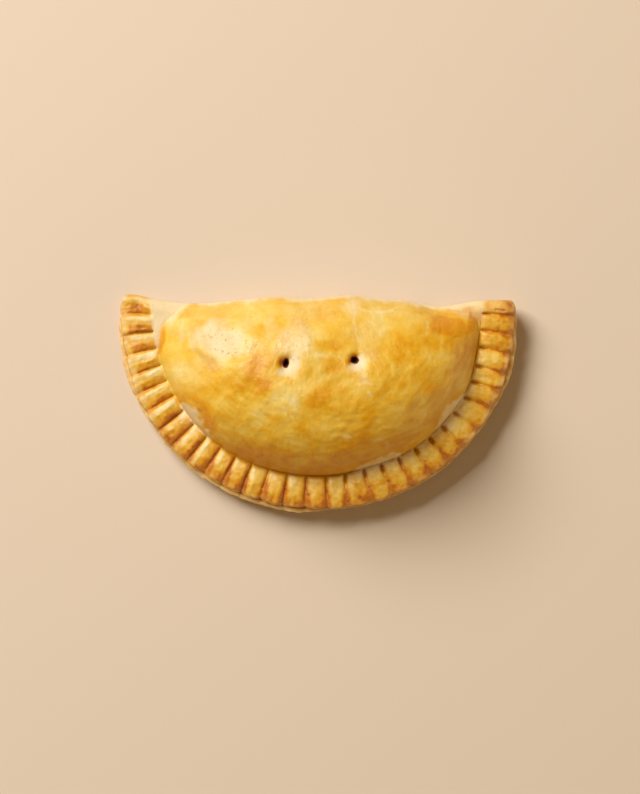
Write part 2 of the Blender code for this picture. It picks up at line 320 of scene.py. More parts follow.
# The dough's top is a grid with u along x, and with rows from the fold to the rim's edge.
dough = bmesh.new()
bmesh.ops.create_grid(dough, x_segments=PADS * COLUMNS_A_PAD, y_segments=ROWS, size=0.5)
bmesh.ops.translate(dough, vec=(0.5, 0.5, 0.0), verts=dough.verts)
bmesh.ops.scale(dough, vec=(PADS, ROWS, 1.0), verts=dough.verts)
along_rows = []
for edge in dough.edges:
    first, second = (vert.co for vert in edge.verts)
    if abs(first.y - second.y) < 0.5 and min(first.y, second.y) > FINE_FROM * DOME_ROWS - 0.5:
        along_rows.append(edge)
bmesh.ops.subdivide_edges(dough, edges=along_rows, cuts=1, use_grid_fill=True)

# Each point keeps its u, its row, and its ring: 0 on top, and then counted down the sides.
unrolled = dough.verts.layers.float_vector.new("unrolled")
for vert in dough.verts:
    u = round(vert.co.x * 2 * COLUMNS_A_PAD) / (2 * COLUMNS_A_PAD)
    row = round(vert.co.y)
    vert[unrolled] = (u, row, 0.0)
    if row < DOME_ROWS:
        place = dome_place(u, row)
        vert.co = bent(place, dome_height(place))


# ------------------------------------------------------------------------------------------
# The crimps
# The rim of the two layers, pressed shut with the tines of a fork, which leaves 31 raised
# pads. The tines went in at a slant, deeper at their tips, and dragged the dough a little.

# Along a crimp, t is 0 at its inner end and 1 at the rim's edge. What starts, ends or reaches
# somewhere here is a share of that way.
GROOVE_RAMP = 0.1  # where a groove's inner end has sloped down
PAD_STARTS = 0.15  # where a pad has its own height
PAD_FALL = 1.1  # how much lower a pad is at the rim's edge than at its middle
PAD_FALL_STARTS = 0.35
PAD_INNER_FALL = 0.55  # and how much lower at its inner end
PAD_INNER_REACH = 0.3
CLOSING_STARTS = 0.35  # where a groove begins to get shallower
CLOSING_REACH = 0.5
PAD_UNEVENNESS = 0.3
PAD_TILT = 0.22
CREST_SHIFT = 0.10  # how far the most tilted pad's crest moves across it
PAD_STEEPNESS = 0.97  # at 1, a pad's sides would stand upright in its grooves
CREASE_SHARE = 0.07  # the foot crease's width on the pads
NOTCH = 0.4  # how far the outline draws in at the outer end of a groove
NOTCH_STARTS = 0.75

# Round the rim: where the fork leaned, how far it turned a groove's outer end, and over what
# half width.
LEANS = (
    (math.radians(99.5), math.radians(-1.1), math.radians(4.0)),
    (math.radians(150.0), math.radians(2.0), math.radians(11.0)),
)

# How the marks change round the rim, as (degrees, value). A pad with a squareness of 2 is a
# half round, and more is flatter with steeper sides. Its crest is where its two sides meet.
PAD_SQUARE_INNER = ((0, 2.3), (55, 2.5), (64, 3.6), (95, 3.8), (104, 4.6), (158, 4.2), (170, 3.0))
PAD_SQUARE_OUTER = ((0, 2.1), (55, 2.2), (64, 3.0), (95, 3.0), (104, 2.4), (158, 2.4), (170, 2.6))
PAD_CREST = ((0, 0.40), (55, 0.40), (66, 0.48), (100, 0.5), (150, 0.55), (180, 0.5))
# How much of the inner fall a pad has.
INNER_ROUNDS = (
    (20, 0.0), (34, 1.0), (98, 1.0), (104, 0.2), (148, 0.2), (156, 1.0), (168, 1.0), (174, 0.0),
)
# How deep a groove is, and how much shallower at its outer end, as a share.
GROOVE_DEPTH = ((0, 1.4), (55, 1.5), (64, 1.45), (95, 1.5), (102, 1.1), (158, 1.1), (168, 1.3))
GROOVE_CLOSES = ((0, 0.8), (28, 0.75), (56, 0.5), (95, 0.35), (104, 0.7), (155, 0.7), (165, 0.4))
# The fine line that a tine scored along the bottom of its groove.
LINE_DEPTH = ((0, 0.35), (55, 0.35), (70, 0.2), (100, 0.0), (155, 0.0), (180, 0.25))
LINE_WIDTH = 0.45
LINE_ENDS = 0.2  # how far from the rim's edge
# The slit that its tip cut near the groove's inner end.
SLIT_DEPTH = ((60, 0.5), (88, 0.5), (102, 2.6), (160, 2.4), (168, 0.8))
SLIT_WIDTH = ((60, 0.30), (100, 0.48), (160, 0.48), (170, 0.35))
SLIT_MIDDLE = 0.15
SLIT_REACH = 0.15

# The relief of a pad. Its streaks run along it: how many there are across and along it, their
# seed, and how high they are. Its blisters are bumps.
PAD_STREAKS = ((2.3, 1.1, 4.0, 0.30), (6.0, 3.0, 7.0, 0.16))
PAD_BLISTERS = ((1.9, 3, 0.20), (0.9, 5, 0.10))
INNER_RELIEF = 0.3  # share of it that is left at a pad's inner end

# The first pad, at the left corner, was pressed twice and stayed a rough lump with a hollow.
# The last one has a short slit from the tip of a tine.
CORNER_HOLLOW = Vector((-60.8, -3.4))
CORNER_HOLLOW_DEPTH = 1.0
CORNER_HOLLOW_WIDTH = 2.1
LAST_SLIT = (Vector((60.2, -3.3)), Vector((63.0, -3.6)))
LAST_SLIT_DEPTH = 0.5
LAST_SLIT_WIDTH = 0.4


def draws(count, low, high, seed):
    chance = random.Random(seed)
    return [chance.uniform(low, high) for _ in range(count)]


PAD_HEIGHTS = draws(PADS, -PAD_UNEVENNESS, PAD_UNEVENNESS, 8)
PAD_TILTS = draws(PADS, -PAD_TILT, PAD_TILT, 12)
GROOVE_DEPTHS = draws(PADS + 1, 0.8, 1.2, 9)


def groove_share(u, t):
    """How far down a groove's side u is: 0 on top of a pad, and 1 at the groove's bottom."""
    pad, across = pad_at(u)
    if (pad == 0 and across < 0.5) or (pad == PADS - 1 and across > 0.5):
        return 0.0
    degrees = math.degrees(angle_at(u))
    crest = between(PAD_CREST, degrees) + CREST_SHIFT * PAD_TILTS[pad] / PAD_TILT
    side = (crest - across) / crest if across < crest else (across - crest) / (1 - crest)
    squareness = mix(between(PAD_SQUARE_INNER, degrees), between(PAD_SQUARE_OUTER, degrees), t)
    deepest = 1 - math.sqrt(1 - PAD_STEEPNESS**squareness)
    return (1 - math.sqrt(max(1 - (PAD_STEEPNESS * side) ** squareness, 0.0))) / deepest


def from_groove(u, t):
    """Millimetres along the rim to the nearest groove, below 0 before it and above 0 after."""
    pad, across = pad_at(u)
    wide = (GROOVES[pad + 1] - GROOVES[pad]) * mix(CRIMP_ROOT, RIM_RADIUS, t)
    if pad == PADS - 1 or (across < 0.5 and pad > 0):
        return across * wide
    return (across - 1) * wide


def crimp_place(u, t):
    """Where u and t are on the rim, seen from above."""
    angle = angle_at(u)
    radius = mix(crimp_root(angle), rim_radius(angle), t)
    radius -= NOTCH * groove_share(u, 1.0) * smooth((t - NOTCH_STARTS) / (1 - NOTCH_STARTS))
    return polar(radius, angle + t * waves(angle, LEANS))


def pad_relief(u, t, place):
    """What the tines' drag and the oven left on a pad: long streaks, and small blisters."""
    relief = bumpy(place, PAD_BLISTERS)
    for across, along, seed, high in PAD_STREAKS:
        relief += high * noise.noise(Vector((across * u, along * t, seed)))
    return relief


def in_last_slit(place):
    start, end = LAST_SLIT
    along = min(max((place - start).dot(end - start) / (end - start).length_squared, 0.0), 1.0)
    return hump((place - start.lerp(end, along)).length, LAST_SLIT_WIDTH)


def crimp_height(u, t):
    """Height of the rim's top, with its pads, its grooves and their slits."""
    pad, across = pad_at(u)
    angle = angle_at(u)
    degrees = math.degrees(angle)
    place = crimp_place(u, t)
    crease = foot_crease(angle) * hump(t, CREASE_SHARE)
    fall = PAD_FALL * (max(t - PAD_FALL_STARTS, 0.0) / (1 - PAD_FALL_STARTS)) ** 2
    fall += PAD_INNER_FALL * between(INNER_ROUNDS, degrees) * max(1 - t / PAD_INNER_REACH, 0.0) ** 2
    closed = between(GROOVE_CLOSES, degrees) * smooth((t - CLOSING_STARTS) / CLOSING_REACH)
    depth = mix(GROOVE_DEPTHS[pad], GROOVE_DEPTHS[pad + 1], across) * between(GROOVE_DEPTH, degrees)
    depth *= groove_share(u, t) * (1 - closed)
    side = from_groove(u, t)
    line = between(LINE_DEPTH, degrees) * hump(side, LINE_WIDTH) * smooth((1 - t) / LINE_ENDS)
    slit = between(SLIT_DEPTH, degrees) * hump(side, between(SLIT_WIDTH, degrees))
    slit *= hump(t - SLIT_MIDDLE, SLIT_REACH)
    cut = (depth + line + slit) * smooth(t / GROOVE_RAMP)
    tilt = PAD_TILTS[pad] * (2 * across - 1) * smooth(4 * t)
    hollow = CORNER_HOLLOW_DEPTH * hump((place - CORNER_HOLLOW).length, CORNER_HOLLOW_WIDTH)
    hollow += LAST_SLIT_DEPTH * in_last_slit(place)
    relief = pad_relief(u, t, place) * mix(INNER_RELIEF, 1.0, smooth(3 * t))
    high = PAD_HEIGHTS[pad] * smooth(t / PAD_STARTS)
    return RIM_TOP + high + tilt - crease - fall - cut + relief - hollow


def along_crimp(row):
    """The t of a row."""
    return (row - DOME_ROWS) / RIM_ROWS


for vert in dough.verts:
    u, row, ring = vert[unrolled]
    if row >= DOME_ROWS:
        t = along_crimp(row)
        vert.co = bent(crimp_place(u, t), crimp_height(u, t))


# ------------------------------------------------------------------------------------------
# The edge and the underside
# The cut edge of the two layers shows all round the rim. The bottom one is a little larger
# and shows as a lip, with a gap above it where the layers lifted apart in the oven; the
# crust's colour paints that gap dark, as painted shade.

# The edge ring by ring, from the top layer down: how far a ring stands out, and its height
# as a share of the edge's.
EDGE_RINGS = (
    (0.34, 0.93), (0.55, 0.84), (0.62, 0.74), (0.56, 0.64), (0.30, 0.56), (-0.20, 0.51),
    (-0.80, 0.475), (-0.75, 0.445), (-0.05, 0.42), (0.32, 0.37), (0.50, 0.29), (0.44, 0.17),
    (0.20, 0.06), (-0.25, 0.0),
)
LIP_FROM = 8  # the first ring of the bottom layer
# How far the lip stands out round the rim, as (degrees, value).
LIP_SHOWS = (
    (2, 0.2), (9, 1.0), (15, 1.6), (24, 1.6), (31, 0.8), (38, 0.6), (44, 0.9), (60, 1.6),
    (84, 1.7), (93, 0.5), (124, 0.9), (136, 0.6), (148, 0.8), (154, 1.1), (160, 2.1),
    (165, 1.5), (174, 0.9), (179, 0.2),
)
# How far the layers lifted apart, as a share, in the same way.
GAP_OPENS = (
    (0, 0.1), (36, 0.3), (56, 1.0), (90, 1.0), (97, 0.3), (118, 0.6), (135, 0.6), (142, 0.15),
    (180, 0.1),
)
SCALLOP = 0.35  # how far the edge draws in at a groove, as a share of what stands out
NOTCH_FILLED = 0.8  # share of a notch in the outline that the lip doesn't follow
# The bumps of the ragged edge, and how ragged the lip is compared with the top layer.
RAGGED = ((4.2, 0, 0.34), (1.6, 2, 0.2))
LIP_RAGGED = ((140, 1.3), (155, 0.6))
EDGE_HEIGHT = 5.0  # about how high the edge is, for the places of its bumps
# The flaky layers on the cut edge.
FLAKE_RELIEF = 0.16
FLAKE_LENGTH = 5.0
FLAKE_THICKNESS = 0.45

FOLD_TUCK = 0.5  # how far the fold's underside draws in, as a share of its height
FOLD_BUMPS = ((7.0, 1, 0.35), (2.4, 2, 0.12))  # on the fold's side
FOLD_BEND = 22.0  # millimetres for a radian down that side, for the places of those bumps
CORNER_BLEND = 6.0  # how far from the fold the side has become the rim's cut edge
BASE_CENTRE = Vector((0.0, -27.0))
BASE_SHARE = 0.8  # the flat base is the outline drawn in this far towards that centre
UNDER_RINGS = 5
UNDER_POWER = 1.25  # 1 would run straight from the edge down to the base


def extrude_border(bm):
    """Extrudes the open border of the dough and returns the new vertices."""
    border = [edge for edge in bm.edges if edge.is_boundary]
    made = bmesh.ops.extrude_edge_only(bm, edges=border)["geom"]
    return [item for item in made if isinstance(item, bmesh.types.BMVert)]


def on_rim(angle):
    """1 where the side is the rim's cut edge, and 0 where it is the fold's round side."""
    return smooth(rim_radius(angle) * math.sin(angle) / CORNER_BLEND)


def edge_point(top, bottom, angle, u, ring):
    """A point of the rim's cut edge below the point of the top's border."""
    degrees = math.degrees(angle)
    layer = 0 if ring >= LIP_FROM else 1
    out, share = EDGE_RINGS[ring]
    if out < 0 and ring <= LIP_FROM:
        out *= between(GAP_OPENS, degrees)
    place = (angle * RIM_RADIUS, share * EDGE_HEIGHT)
    ragged = bumpy(place, RAGGED, layer)
    flake = Vector((place[0] / FLAKE_LENGTH, place[1] / FLAKE_THICKNESS, 9.0))
    if layer == 1:
        out -= SCALLOP * max(out, 0.0) * groove_share(u, 1.0)
        ragged *= smooth((ring + 1) / 3)
    else:
        out += between(LIP_SHOWS, degrees) * smooth((ring - LIP_FROM + 1) / 2)
        out += NOTCH_FILLED * NOTCH * groove_share(u, 1.0)
        ragged *= between(LIP_RAGGED, degrees)
    edge = top + polar(out + ragged + FLAKE_RELIEF * noise.noise(flake), angle).to_3d()
    edge.z = mix(bottom, top.z, share)
    return edge


def side_point(top, u, row, ring):
    """A point of the dough's side, below a point of its top's border."""
    angle = angle_of(top.xy)
    bottom = underside(top.xy.length, angle)
    down = math.pi / 2 * (ring + 1) / len(EDGE_RINGS)
    tuck = FOLD_TUCK * (top.z - bottom) * (1 - math.cos(down))
    tuck += smooth(down) * bumpy((top.x, FOLD_BEND * down), FOLD_BUMPS)
    fold = Vector((top.x, top.y - tuck, mix(top.z, bottom, math.sin(down))))
    if row < ROWS:
        return fold
    return fold.lerp(edge_point(top, bottom, angle, u, ring), on_rim(angle_at(u)))


top_of_side = dough.verts.layers.float_vector.new("top")
for vert in dough.verts:
    vert[top_of_side] = vert.co
for ring in range(len(EDGE_RINGS)):
    for vert in extrude_border(dough):
        u, row, _ = vert[unrolled]
        vert[unrolled] = (u, row, ring + 1)
        vert.co = side_point(vert[top_of_side], u, row, ring)

# From there the underside runs in and down to the flat base.
foot_of_side = dough.verts.layers.float_vector.new("lowest")
for vert in dough.verts:
    vert[foot_of_side] = vert.co
for ring in range(1, UNDER_RINGS + 1):
    t = ring / UNDER_RINGS
    for vert in extrude_border(dough):
        u, row, _ = vert[unrolled]
        foot = vert[foot_of_side]
        place = BASE_CENTRE.lerp(foot.xy, mix(1.0, BASE_SHARE, t))
        vert[unrolled] = (u, row, len(EDGE_RINGS) + ring)
        vert.co = (place.x, place.y, foot.z * (1 - t) ** UNDER_POWER)
border = [edge for edge in dough.edges if edge.is_boundary]
bmesh.ops.contextual_create(dough, geom=border)


# ------------------------------------------------------------------------------------------
# The steam vents
# Two holes pricked in the top before baking. Each was pushed in at a slant from the upper
# left, so that its funnel is steep on that side and runs out gently on the other.

# Where, as a place, the hole's half length and half width, how far it is turned, and how far
# the funnel reaches against and along the slant.
VENTS = (
    (Vector((-10.4, -21.9)), 1.45, 0.98, math.radians(80), 3.6, 6.4),
    (Vector((12.0, -20.9)), 1.28, 1.10, math.radians(0), 3.4, 5.4),
)
SLANT = Vector((0.72, -0.69))
FUNNEL_DEPTH = 2.7
FUNNEL_POWER = 1.7  # 1 would be a straight cone
# The hole ring by ring: its size as a share of the ring above, and how far it is below that.
HOLE_RINGS = (
    (0.95, 0.085), (0.90, 0.204), (0.85, 0.408), (0.80, 0.68), (0.75, 0.986), (0.68, 1.292),
)
FINER_WITHIN = 3.0  # of a vent's middle, where the mesh is twice as fine
FUNNEL_WITHIN = 8.0  # nothing of a funnel is further out
DOME_ABOVE = 10.0  # all of the dome near the vents is above this, and the base is below
MANY_CORNERS = 6  # a face with so many or more lies where the mesh gets finer, and stays


def funnel_depth(place, vent):
    centre, _, _, _, short, far = vent
    away = place - centre
    if away.length < 0.001:
        return FUNNEL_DEPTH
    along = 0.5 + 0.5 * away.normalized().dot(SLANT)
    reach = mix(short, far, smooth(along)) * (1 + 0.12 * uneven(away, 2.5, 4))
    return FUNNEL_DEPTH * max(1 - away.length / reach, 0.0) ** FUNNEL_POWER


def in_hole(place, vent):
    """Below 1 inside a vent's hole, and 1 on its outline."""
    centre, long, wide, turn, _, _ = vent
    away = Matrix.Rotation(-turn, 2) @ (place - centre)
    return math.hypot(away.x / long, away.y / wide) * (1 + 0.07 * uneven(away.normalized(), 0.7, 6))


def dome_within(reach, vent):
    """The dome's vertices near a vent's middle."""
    return {
        vert for vert in dough.verts if vert.co.z > DOME_ABOVE and (vert.co.xy - vent[0]).length < reach
    }


for vent in VENTS:
    close = dome_within(FINER_WITHIN, vent)
    inner_edges = [edge for edge in dough.edges if edge.verts[0] in close and edge.verts[1] in close]
    bmesh.ops.subdivide_edges(dough, edges=inner_edges, cuts=1, use_grid_fill=True)
    near = dome_within(FUNNEL_WITHIN, vent)
    for vert in near:
        vert.co.z -= funnel_depth(vert.co.xy, vent)
    inside = [
        face
        for face in dough.faces
        if len(face.verts) < MANY_CORNERS
        and all(vert in near for vert in face.verts)
        and in_hole(face.calc_center_median().xy, vent) < 1
    ]
    bmesh.ops.delete(dough, geom=inside, context="FACES")
    rim = {vert for edge in dough.edges if edge.is_boundary for vert in edge.verts}
    mouth = sum(vert.co.z for vert in rim) / len(rim)
    for vert in rim:
        away = vert.co.xy - vent[0]
        vert.co.xy = vent[0] + away / in_hole(vert.co.xy, vent)
    for share, down in HOLE_RINGS:
        for vert in extrude_border(dough):
            u, row, _ = vert[unrolled]
            vert[unrolled] = (u, row, -1)
            away = vert.co.xy - vent[0]
            vert.co.xy = vent[0] + away * share
            vert.co.z = min(vert.co.z, mouth) - down
    floor_edges = [edge for edge in dough.edges if edge.is_boundary]
    bmesh.ops.contextual_create(dough, geom=floor_edges)
bmesh.ops.recalc_face_normals(dough, faces=dough.faces)


# ------------------------------------------------------------------------------------------
# The crust
# The dough was brushed with beaten egg and baked golden. The wash browns and shines where it
# lies thick, and leaves the dough pale and matt where the brush missed it or where it
# cracked as the dome swelled. It browned most on the rim's outer ends and in the grooves.
# Some of the colour is painted light: pale patches stand in for highlights and sheen where
# the top faces the light, and darker marks stand in for shade in the grooves, the slits, the
# gap between the layers, the vents' steep sides and at the dome's right end.

# Browning goes from 0, pale, to 1, dark brown, and also carries the painted shade and light;
# egg wash goes from 0 to 1, and where less of it leaves the dough pale it also stands for
# painted highlights. Mottles are bumps.
DOME_BROWN = 0.40
DOME_MOTTLES = ((16.0, 31, 0.12), (5.0, 32, 0.16))
LOW_BROWN = 0.10  # how much browner the lower part is
WRINKLE_BROWN = (0.04, 0.14)  # how much the wrinkles show, on the top and on the lower part
# The foot of the dome browned in a band, which fades out towards the right corner.
BAND_BROWN = 0.20
BAND_WIDTH = 13.0
BAND_FADES = (112, 18)  # from how many degrees round, and over how many
DEEPEST_BROWN = 0.72  # the most, before the shoulders and the vents add theirs
# Patches that are browner (or paler) than around them: the middle, the half length and half
# width, how far it is turned in degrees, and how much. Most are browning; the paler one over
# the flat is a painted highlight, and the one at the dome's right end is painted shade.
BROWNED_AND_PAINTED_LIGHT = (
    ((-52.6, -12.4), 5.5, 1.5, 82, 0.30),
    ((-43.8, -5.0), 7.5, 1.8, 4, 0.12),
    ((-23.5, -27.8), 9.0, 2.8, -6, 0.08),
    ((-17.6, -28.6), 3.0, 2.4, -30, 0.16),
    ((-21.4, -24.4), 4.2, 3.0, 40, 0.10),
    ((-36.2, -37.9), 5.6, 3.0, -38, 0.08),
    ((-14.7, -39.4), 4.0, 1.4, -10, 0.08),
    ((-2.6, -38.8), 8.0, 5.5, 20, 0.08),
    ((3.3, -16.5), 4.6, 2.4, 0, 0.16),
    ((4.6, -23.0), 4.2, 3.0, 0, 0.20),
    ((3.3, -30.8), 6.5, 4.4, 15, 0.14),
    ((26.6, -18.0), 8.5, 5.2, -14, 0.05),
    ((31.3, -16.5), 3.4, 2.0, -10, 0.05),
    ((20.8, -27.4), 5.0, 6.0, 30, 0.03),
    ((44.2, -9.2), 8.0, 3.6, -6, 0.28),
    ((42.8, -10.5), 3.6, 2.6, 0, 0.10),
    # painted shade at the dome's right end, which faces away from the light
    ((51.6, -7.8), 1.6, 3.4, 0, 0.24),
    ((41.8, -27.6), 4.6, 2.0, 70, 0.06),
    ((7.6, -48.6), 4.6, 2.4, 8, 0.10),
    ((-10.9, -33.5), 6.0, 4.0, 10, -0.10),
    ((10.0, -34.0), 7.0, 4.0, 10, -0.06),
    ((-24.0, -36.0), 8.0, 4.0, 0, -0.06),
    ((-43.0, -24.0), 8.0, 7.0, 30, -0.12),
    ((-20.0, -6.0), 16.0, 4.0, 0, -0.10),
    # paler over the flat, under its painted highlight
    ((-32.6, -13.6), 10.5, 6.4, -12, -0.14),
    ((26.0, -8.0), 13.0, 4.6, 0, -0.14),
    ((20.0, -3.0), 14.0, 3.0, 0, -0.06),
    ((-17.2, -20.0), 5.5, 4.5, 30, 0.22),
    ((-13.0, -38.5), 9.5, 6.5, 10, -0.18),
    ((-5.0, -34.5), 4.0, 3.5, 0, -0.10),
    ((-22.0, -46.0), 7.0, 3.0, -20, -0.10),
    ((26.0, -34.5), 7.0, 3.5, 0, -0.08),
    ((49.0, -28.0), 4.0, 5.0, 0, -0.12),
    ((37.0, -45.0), 4.0, 3.0, 40, -0.10),
    ((-28.0, -36.5), 8.0, 5.0, -35, -0.06),
    ((-8.5, -30.0), 4.5, 4.5, 0, -0.08),
    ((16.5, -12.5), 8.0, 5.0, 0, -0.08),
    ((36.0, -32.0), 5.0, 7.0, 20, -0.06),
    ((48.0, -20.0), 4.5, 8.0, -15, 0.10),
)

# The flat shoulders stayed bare: below what share of the dome's rise, up to what angle at the
# left corner, and from what angle on at the right one.
SHOULDER_SHARE = 0.16
SHOULDER_ENDS = (19, 170)
RIGHT_SHOULDER_BARE = 0.85  # the left one is quite bare
RIGHT_SHOULDER_BROWN = 0.24
LEFT_FOOT = ((-51.6, -13.0), 6.0, 2.2, 82, 1.0)  # a patch that the wash did reach

# Where the brush missed: the flat bits beside the crimps, as stops of how far in from the
# crimps' ends that goes, and how bare they are.
MISSED_FOOTS = (
    (((36.0, 0.0), (38.5, 3.8), (42, 5.0), (47, 3.8), (51, 2.2), (54, 0.0)), 0.80),
    (((100, 0.0), (104, 1.8), (110, 2.6), (116.5, 3.0), (118.5, 0.0)), 0.74),
    (((132.0, 0.0), (136, 3.2), (141, 3.6), (149, 0.0)), 0.80),
)
MISSED_PALER = 0.38

# Cracks in the wash, as a line of places, its half width and how deep it is.
CRACKS = (
    (((-1.0, -19.4), (3.9, -19.9), (9.3, -20.3)), 0.34, 0.04),
    (((11.4, -0.4), (11.8, -5.8), (12.5, -11.9), (13.4, -15.9), (12.8, -18.2)), 0.42, 0.05),
    (((13.6, -4.0), (18.0, -5.0), (22.4, -4.6), (26.5, -3.0)), 0.50, 0.06),
    (((15.0, -26.1), (16.3, -29.3), (17.3, -32.2)), 0.60, 0.06),
    (((36.4, -7.9), (35.8, -11.7)), 0.50, 0.04),
    (((4.6, -44.7), (8.0, -45.9), (11.2, -45.7)), 0.45, 0.07),
    (((14.8, -45.1), (17.6, -46.6), (20.5, -46.8), (23.2, -48.2)), 0.50, 0.08),
    (((-11.4, -36.5), (-9.8, -38.6), (-7.5, -39.8)), 0.55, 0.06),
)
CRACK_REACH = (16, 20)  # no crack is further from its first point, along x and along y
CRACK_BARE = 0.4
CRACK_PALER = 0.12

# Pale patches, given in the same way, with how bare they are. Some are dough that the wash
# covers less, and the ones marked below are painted highlights and sheen where the top faces
# the light.
PALE_AND_PAINTED_HIGHLIGHTS = (
    ((12.0, -2.6), 2.4, 4.2, 0, 0.55),
    ((9.4, -3.0), 3.2, 2.0, 0, 0.30),
    # painted highlight above the left vent
    ((-6.8, -14.2), 6.6, 5.0, 90, 0.55),
    # painted highlight over the flat
    ((-32.6, -13.6), 10.5, 6.4, -12, 0.86),
    # painted highlight below the flat
    ((-35.5, -21.5), 5.0, 2.4, -20, 0.35),
    # painted highlight, a bright streak beside the flat
    ((-15.5, -9.5), 2.4, 4.0, 0, 0.30),
    ((15.5, -11.5), 7.0, 5.0, 0, 0.16),
    # painted sheen beside the highlight
    ((-24.5, -8.5), 4.5, 4.0, 0, 0.22),
    # painted sheen at the dome's left end
    ((-45.5, -9.5), 4.0, 5.0, 0, 0.18),
    ((17.0, -19.0), 3.5, 3.0, 0, 0.22),
    # painted sheen along the top
    ((-37.0, -4.6), 12.0, 3.2, 0, 0.20),
    ((-42.0, -27.0), 8.0, 6.0, 30, 0.10),
    # painted sheen along the top
    ((-2.0, -5.0), 11.0, 4.0, 0, 0.20),
    ((-45.4, -11.6), 4.2, 1.7, 80, 0.45),
    ((14.6, -26.5), 1.4, 3.0, 0, 0.35),
    ((48.0, -20.0), 4.5, 8.0, -15, 0.25),
    ((-13.4, -17.0), 1.0, 4.0, 0, 0.35),
)

# Patches where the egg wash ran together and dried thick and shiny.
THICK = (
    ((-33.5, -13.2), 13.0, 7.0, -10, 1.0),
    ((-7.5, -14.5), 7.0, 6.5, 90, 0.8),
    ((-11.0, -10.0), 2.0, 5.0, 0, 0.4),
    ((13.5, -9.0), 3.0, 6.0, 0, 0.3),
)
THIN = 0.22  # how thick it is elsewhere on the dome

# Beside the vents the funnel's steep upper left side, which faces away from the light, is
# painted darker as painted shade, and the dough of the other side, which faces the light, was
# stretched bare and is painted paler still as painted light.
VENT_WALL_PAINTED_SHADE = 0.6
STRETCHED_BARE_AND_LIT = 0.95
STRETCHED_PAINTED_LIGHT = 0.2
BESIDE_VENT = 7.0  # nothing of that is further from a vent's middle


def in_patch(place, patch):
    """How much a patch gives in its middle, and 0 outside its uneven outline."""
    centre, long, wide, turn, much = patch
    away = place - Vector(centre)
    if away.length > 1.6 * max(long, wide):
        return 0.0
    away += Vector((uneven(place, 4.0, 11), uneven(place, 4.0, 12))) * 0.45 * min(long, wide)
    away = Matrix.Rotation(-math.radians(turn), 2) @ away
    return much * smooth((1.25 - math.hypot(away.x / long, away.y / wide)) / 0.75)


def thickness(place):
    """How thick the egg wash is on the dome, from 0 to 1."""
    return mix(THIN, 1.0, max(in_patch(place, patch) for patch in THICK))


def pocked_there(place):
    """1 where the thick wash dried with small pocks, and 0 where it stayed smooth."""
    away = place - FLAT_MIDDLE
    there = smooth(0.6 + 1.3 * uneven(place, 4.0, 63) + 0.05 * away.x - 0.08 * away.y)
    return there * mix(1.0, 0.45, smooth((place.x + 22) / 6))


def from_line(place, points):
    """The distance to a line through some points."""
    nearest = 1000.0
    for start, end in zip(points, points[1:]):
        start = Vector(start)
        step = Vector(end) - start
        t = min(max((place - start).dot(step) / step.length_squared, 0.0), 1.0)
        nearest = min(nearest, (place - start - t * step).length)
    return nearest


def cracked(place, crack):
    """1 on a crack, and 0 beside it; it wanders a little and changes its width."""
    points, wide, _ = crack
    if abs(place.x - points[0][0]) > CRACK_REACH[0] or abs(place.y - points[0][1]) > CRACK_REACH[1]:
        return 0.0
    wander = Vector((uneven(place, 2.2, 21), uneven(place, 2.2, 22))) * 0.9
    return hump(from_line(place + wander, points), wide * (1 + 0.9 * uneven(place, 2.8, 23)))


def beside_vent(place, vent):
    """How much painted shade a vent's steep side gets, and how much the stretched, lit other side is
    painted bare and pale.
    """
    centre, _, _, _, short, far = vent
    away = place - centre
    if away.length > BESIDE_VENT:
        return 0.0, 0.0
    along = away.normalized().dot(SLANT)
    shaded_wall = smooth((0.35 - along) / 0.9) * smooth((short - away.length) / 2.2)
    wander = 0.8 * uneven(place, 2.4, 36)
    stretched_and_lit = smooth((along + 0.3) / 0.5) * smooth((0.85 * far - away.length + wander) / 1.8)
    return shaded_wall, stretched_and_lit


def dome_browning_and_painted_light(place):
    """How brown the dome is, with the painted highlight and shade of its patches, before what the brush,
    the cracks and the vents did to it.
    """
    angle = angle_of(place)
    low = low_down(place)
    browning_and_painted_light = DOME_BROWN + bumpy(place, DOME_MOTTLES) + LOW_BROWN * low
    browning_and_painted_light += mix(*WRINKLE_BROWN, low) * wrinkled(place)
    near_foot = smooth((place.length - crimp_root(angle) + BAND_WIDTH) / 10.0)
    fades_from, fades_over = BAND_FADES
    faded = smooth((math.degrees(angle) - fades_from) / fades_over)
    browning_and_painted_light += BAND_BROWN * low * near_foot * mix(1.0, 0.1, faded)
    browning_and_painted_light += sum(in_patch(place, patch) for patch in BROWNED_AND_PAINTED_LIGHT)
    return min(browning_and_painted_light, DEEPEST_BROWN)


